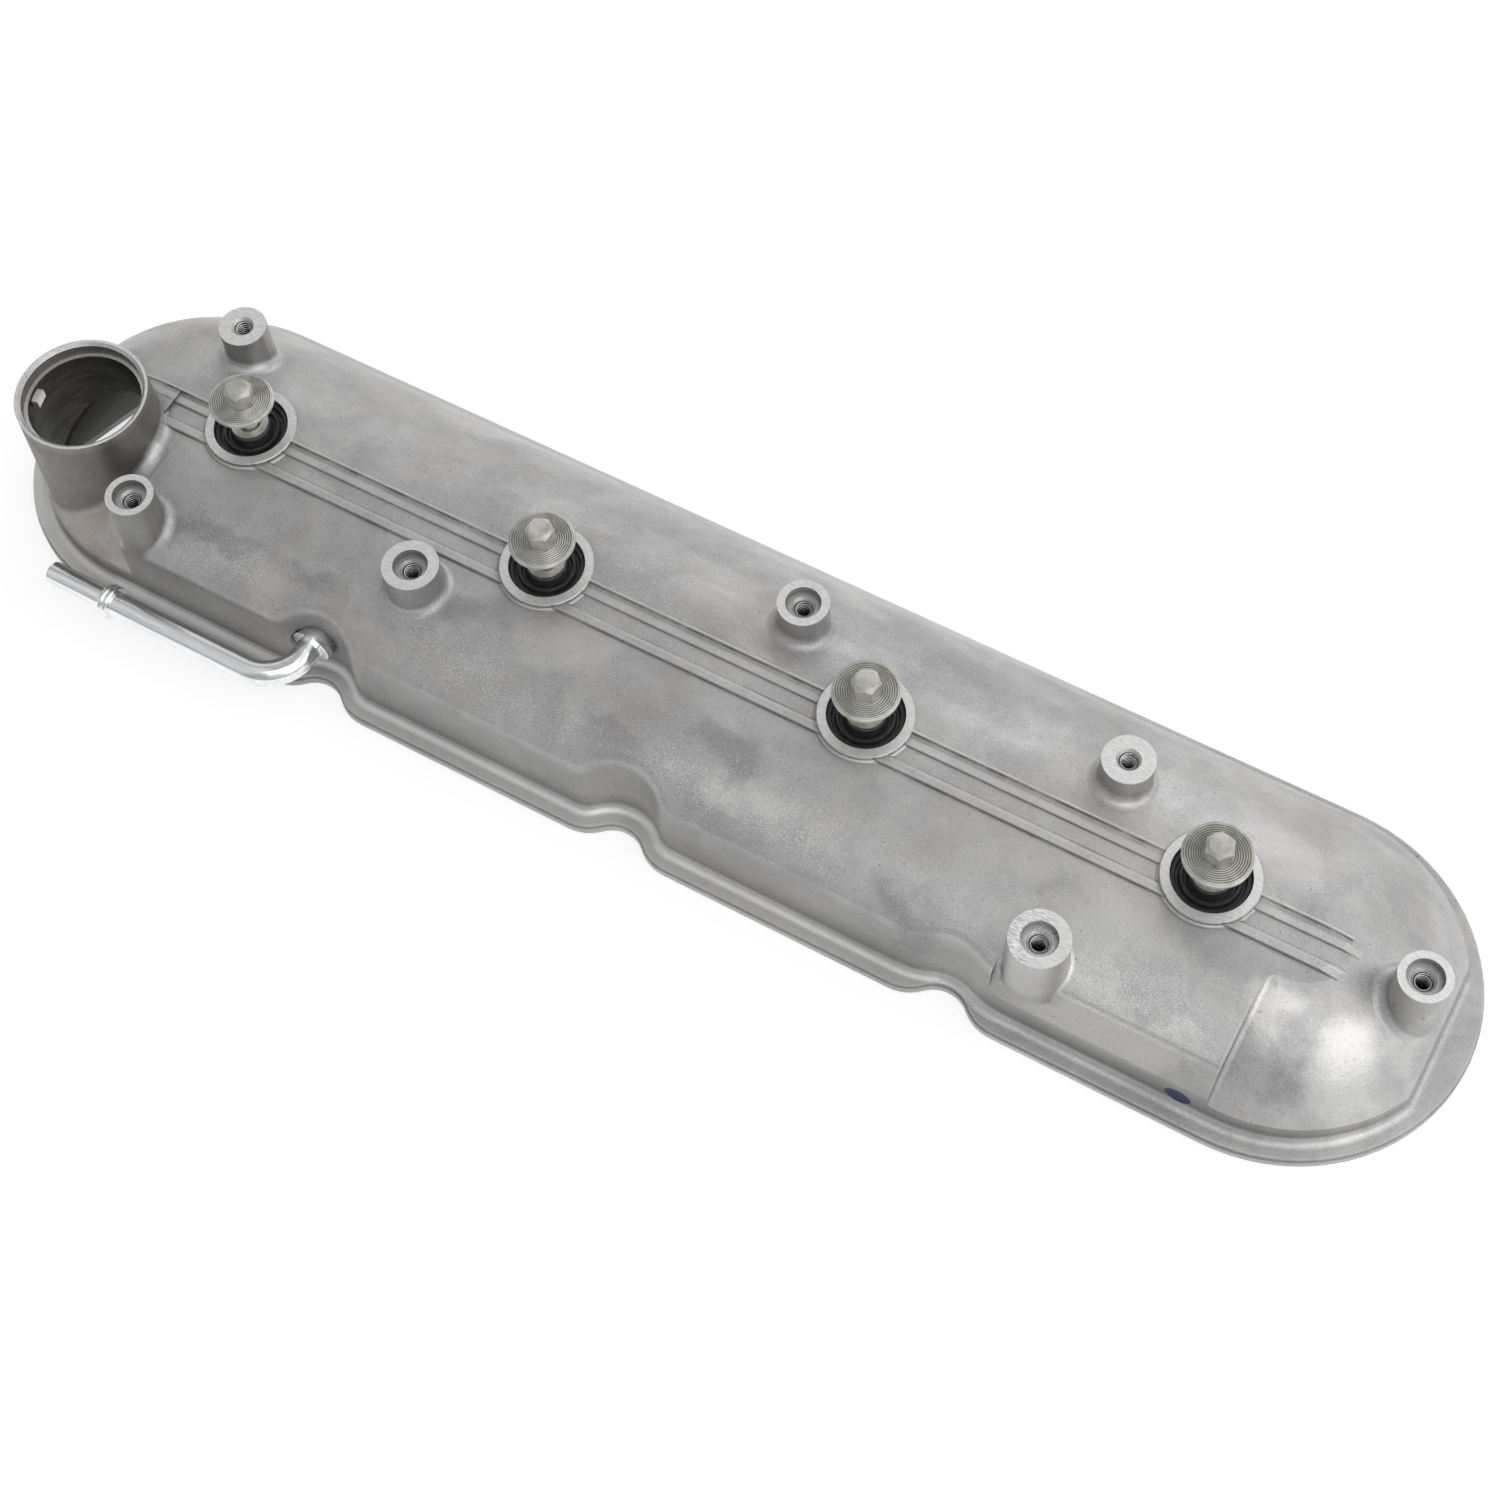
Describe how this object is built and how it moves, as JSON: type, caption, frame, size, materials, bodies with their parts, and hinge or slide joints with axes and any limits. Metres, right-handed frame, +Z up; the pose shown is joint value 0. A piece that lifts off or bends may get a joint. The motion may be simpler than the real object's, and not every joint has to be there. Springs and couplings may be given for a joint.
{
  "type": "engine valve cover",
  "caption": "Long cast valve cover with domed round ends, scalloped side, oil fill neck, bracket bosses, side vent tube and raised captive bolts in grommet rings.",
  "frame": {"origin": "middle of the bolt line, on the plane that the gasket rests on", "axes": "+X along the bolt line away from the oil fill neck, +Z up out of the crown, -Y towards the scalloped exhaust side"},
  "size_m": [0.51, 0.1303, 0.0631],
  "materials": {
    "cast_aluminium": "rough as-cast, slightly stained",
    "gasket_rubber": "matte moulded rubber",
    "tube_steel": "bright plated",
    "baffle_sheet": "rolled sheet",
    "screw_steel": "zinc plated",
    "grommet_rubber": "moulded rubber, slight sheen",
    "sleeve_steel": "dull plated",
    "bolt_coating": "zinc flake coating, matte grey green"
  },
  "bodies": {
    "cover": {"cover_casting": "cast_aluminium", "cover_gasket": "gasket_rubber", "vent_tube": "tube_steel", "vent_baffle": "baffle_sheet", "baffle_screw_1": "screw_steel", "baffle_screw_2": "screw_steel", "baffle_screw_3": "screw_steel", "baffle_screw_4": "screw_steel", "grommet_1": "grommet_rubber", "grommet_2": "grommet_rubber", "grommet_3": "grommet_rubber", "grommet_4": "grommet_rubber"},
    "sleeve_1": {"bolt_sleeve_1": "sleeve_steel"},
    "sleeve_2": {"bolt_sleeve_2": "sleeve_steel"},
    "sleeve_3": {"bolt_sleeve_3": "sleeve_steel"},
    "sleeve_4": {"bolt_sleeve_4": "sleeve_steel"},
    "bolt_1": {"cover_bolt_1": "bolt_coating"},
    "bolt_2": {"cover_bolt_2": "bolt_coating"},
    "bolt_3": {"cover_bolt_3": "bolt_coating"},
    "bolt_4": {"cover_bolt_4": "bolt_coating"}
  },
  "joints": [
    {"name": "sleeve_1_turn", "type": "hinge", "parent": "cover", "child": "sleeve_1", "pos_m": [-0.16764, 0, 0.0444], "axis": [0, 0, 1], "continuous": true},
    {"name": "bolt_1_slide", "type": "slide", "parent": "sleeve_1", "child": "bolt_1", "axis": [0, 0, 1], "range_m": [-0.011, 0]},
    {"name": "sleeve_2_turn", "type": "hinge", "parent": "cover", "child": "sleeve_2", "pos_m": [-0.05588, 0, 0.0444], "axis": [0, 0, 1], "continuous": true},
    {"name": "bolt_2_slide", "type": "slide", "parent": "sleeve_2", "child": "bolt_2", "axis": [0, 0, 1], "range_m": [-0.011, 0]},
    {"name": "sleeve_3_turn", "type": "hinge", "parent": "cover", "child": "sleeve_3", "pos_m": [0.05588, 0, 0.0444], "axis": [0, 0, 1], "continuous": true},
    {"name": "bolt_3_slide", "type": "slide", "parent": "sleeve_3", "child": "bolt_3", "axis": [0, 0, 1], "range_m": [-0.011, 0]},
    {"name": "sleeve_4_turn", "type": "hinge", "parent": "cover", "child": "sleeve_4", "pos_m": [0.16764, 0, 0.0444], "axis": [0, 0, 1], "continuous": true},
    {"name": "bolt_4_slide", "type": "slide", "parent": "sleeve_4", "child": "bolt_4", "axis": [0, 0, 1], "range_m": [-0.011, 0]}
  ]
}
